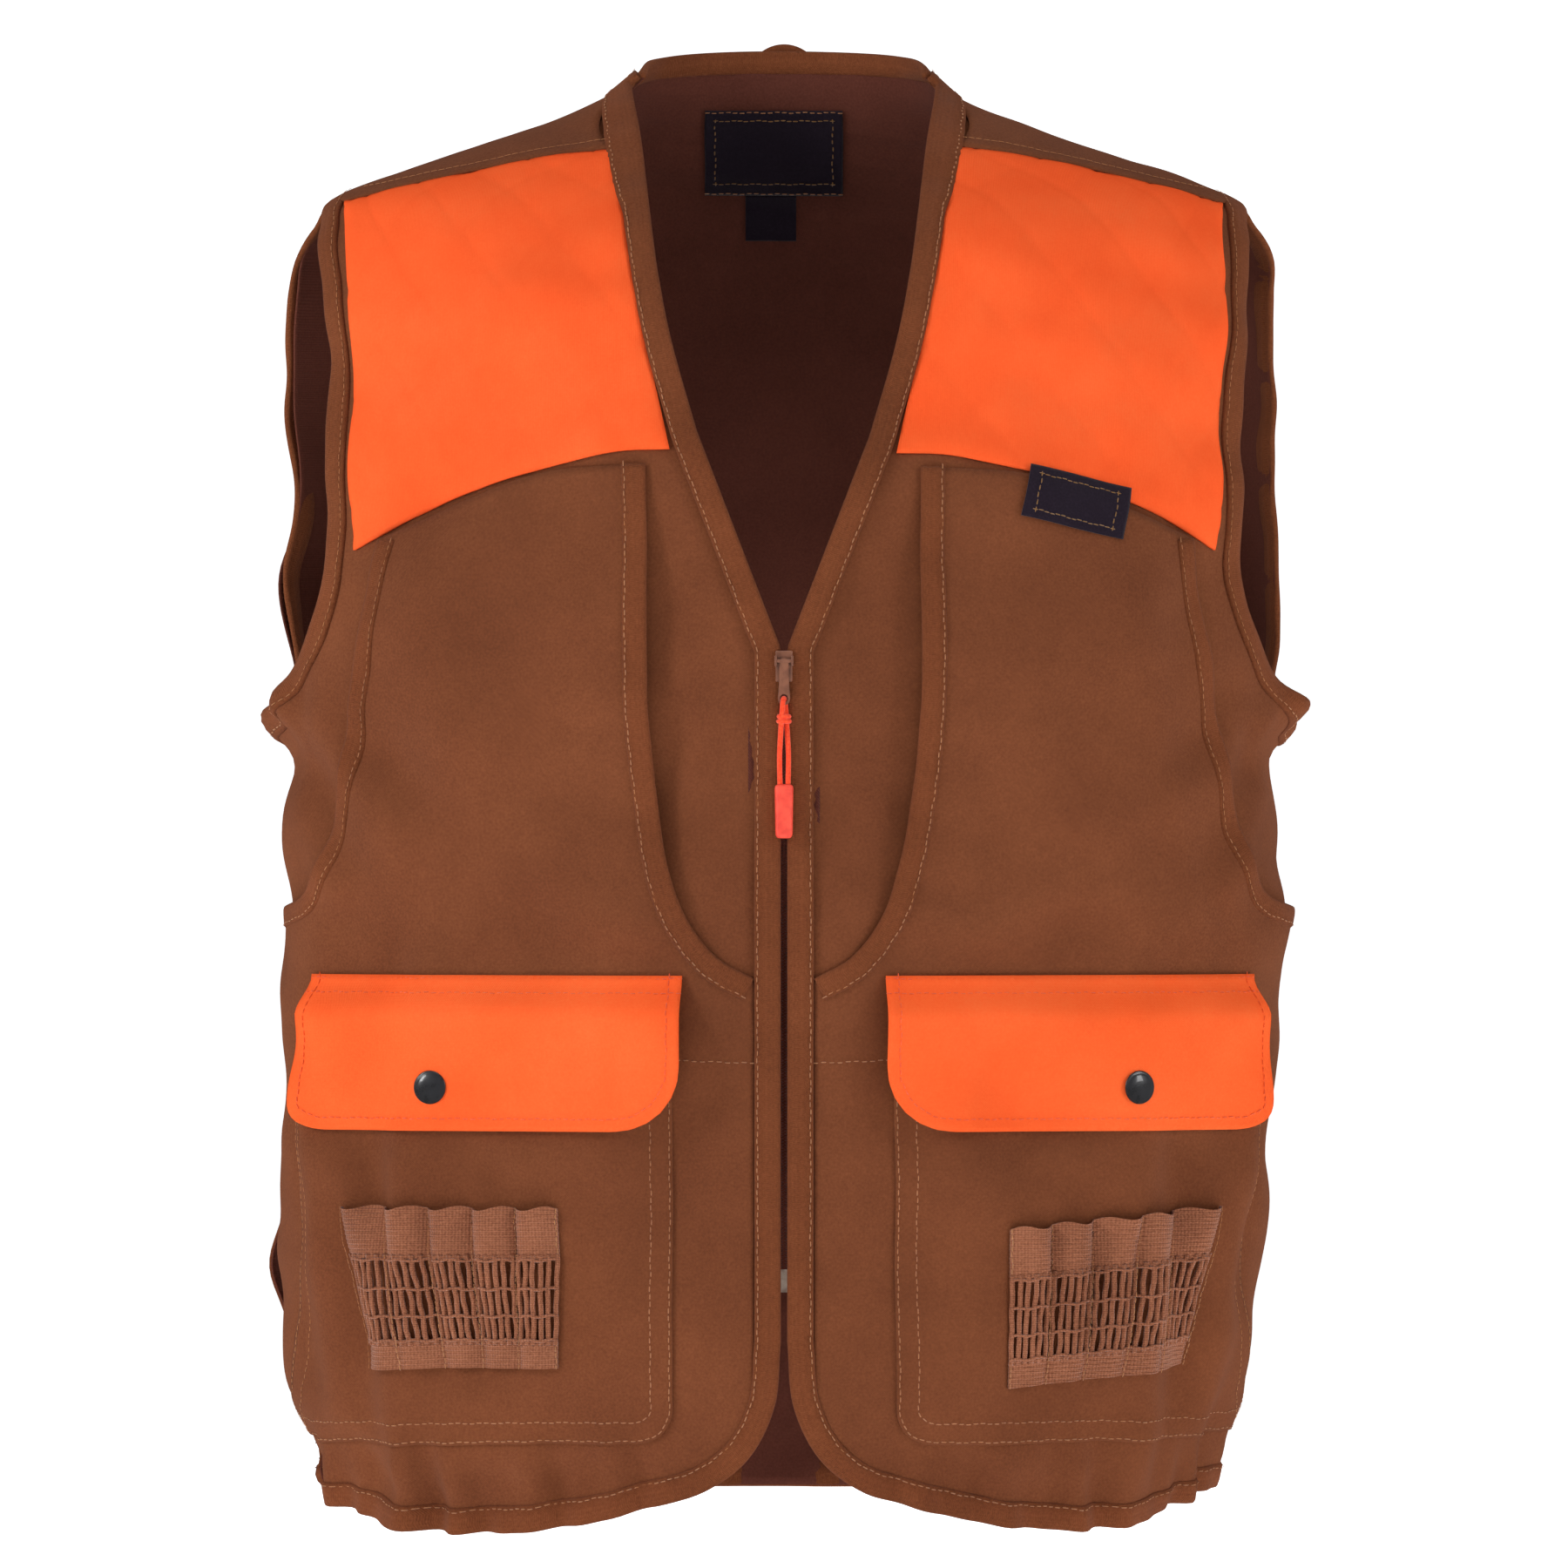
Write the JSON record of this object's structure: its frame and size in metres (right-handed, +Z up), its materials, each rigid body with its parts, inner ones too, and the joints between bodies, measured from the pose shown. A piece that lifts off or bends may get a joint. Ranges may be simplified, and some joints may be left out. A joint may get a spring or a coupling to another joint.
{
  "type": "hunting vest",
  "caption": "Sleeveless zip-front field vest with quilted shoulder patches, flapped cargo pockets, elastic shell loops and a rear game bag.",
  "frame": {"origin": "centre of the wearer's neck at the height of the shoulder seams", "axes": "+Z up, the front faces -Y, +X is the wearer's left"},
  "size_m": [0.5, 0.3162, 0.7237],
  "materials": {
    "brown_twill": "brushed poly-cotton twill",
    "orange_cloth": "blaze orange coated cloth",
    "orange_quilt": "blaze orange cloth, diamond quilted",
    "binding_tape": "folded twill binding",
    "elastic_webbing": "ribbed elastic webbing",
    "label_satin": "woven satin label, blank",
    "zipper_tape": "woven zipper tape",
    "zipper_coil": "nylon coil",
    "zipper_stop": "moulded stop",
    "slider_enamel": "enamelled zinc",
    "snap_black": "black enamelled cap",
    "snap_metal": "plated brass socket and stud",
    "pull_cord": "braided cord",
    "pull_grip": "moulded soft grip"
  },
  "bodies": {
    "back": {"armhole_binding_back_left": "binding_tape", "armhole_binding_back_right": "binding_tape", "back_hem_binding": "binding_tape", "back_panel": "brown_twill", "game_bag": "brown_twill", "game_bag_band": "orange_cloth", "game_bag_binding": "binding_tape", "hanger_loop": "binding_tape", "neck_binding": "binding_tape", "neck_label": "label_satin", "size_tab": "label_satin"},
    "front_left": {"armhole_binding_front_left": "binding_tape", "bag_mouth_binding_left": "binding_tape", "cargo_pocket_left": "brown_twill", "chest_label": "label_satin", "chest_pocket_binding_left": "binding_tape", "flap_header_left": "orange_cloth", "front_edge_binding_left": "binding_tape", "front_lining_left": "brown_twill", "front_panel_left": "brown_twill", "insertion_pin": "zipper_stop", "shell_loops_left": "elastic_webbing", "shoulder_patch_left": "orange_quilt", "shoulder_yoke_left": "brown_twill", "snap_stud_left": "snap_metal", "zipper_chain_left": "zipper_coil", "zipper_tape_left": "zipper_tape"},
    "front_right": {"armhole_binding_front_right": "binding_tape", "bag_mouth_binding_right": "binding_tape", "cargo_pocket_right": "brown_twill", "chest_pocket_binding_right": "binding_tape", "flap_header_right": "orange_cloth", "front_edge_binding_right": "binding_tape", "front_lining_right": "brown_twill", "front_panel_right": "brown_twill", "retainer_box": "zipper_stop", "shell_loops_right": "elastic_webbing", "shoulder_patch_right": "orange_quilt", "shoulder_yoke_right": "brown_twill", "snap_stud_right": "snap_metal", "zipper_chain_right": "zipper_coil", "zipper_tape_right": "zipper_tape"},
    "flap_left": {"pocket_flap_left": "orange_cloth", "snap_cap_left": "snap_black", "snap_socket_left": "snap_metal"},
    "flap_right": {"pocket_flap_right": "orange_cloth", "snap_cap_right": "snap_black", "snap_socket_right": "snap_metal"},
    "zip_pull": {"pull_cord": "pull_cord", "pull_grip": "pull_grip"},
    "pull_tab": {"pull_tab": "slider_enamel"},
    "zip_slider": {"zipper_slider": "slider_enamel"}
  },
  "joints": [
    {"name": "front_left_swing", "type": "hinge", "parent": "back", "child": "front_left", "pos_m": [0.25, 0.02, 0], "axis": [0, 0, 1], "range_deg": [0, 35]},
    {"name": "front_right_swing", "type": "hinge", "parent": "back", "child": "front_right", "pos_m": [-0.25, 0.02, 0], "axis": [0, 0, 1], "range_deg": [-35, 0]},
    {"name": "slider_travel", "type": "slide", "parent": "front_right", "child": "zip_slider", "axis": [0, 0, -1], "range_m": [0, 0.2815]},
    {"name": "pull_tab_swing", "type": "hinge", "parent": "zip_slider", "child": "pull_tab", "pos_m": [0, -0.14662, -0.281], "axis": [-1, 0, 0], "range_deg": [0, 150]},
    {"name": "pull_cord_swing", "type": "hinge", "parent": "pull_tab", "child": "zip_pull", "pos_m": [0, -0.14662, -0.2989], "axis": [-1, 0, 0], "range_deg": [0, 60], "deforming": ["pull_cord"]},
    {"name": "flap_left_lift", "type": "hinge", "parent": "front_left", "child": "flap_left", "pos_m": [0.16305, -0.11962, -0.438], "axis": [-0.8911, -0.4538, 0], "range_deg": [0, 110]},
    {"name": "flap_right_lift", "type": "hinge", "parent": "front_right", "child": "flap_right", "pos_m": [-0.16305, -0.11962, -0.438], "axis": [-0.8911, 0.4538, 0], "range_deg": [0, 110]}
  ],
  "couplings": [
    {"joint": "front_right_swing", "follows": "front_left_swing", "ratio": -1},
    {"joint": "slider_travel", "follows": "front_left_swing", "m_per_rad": 0.46}
  ]
}
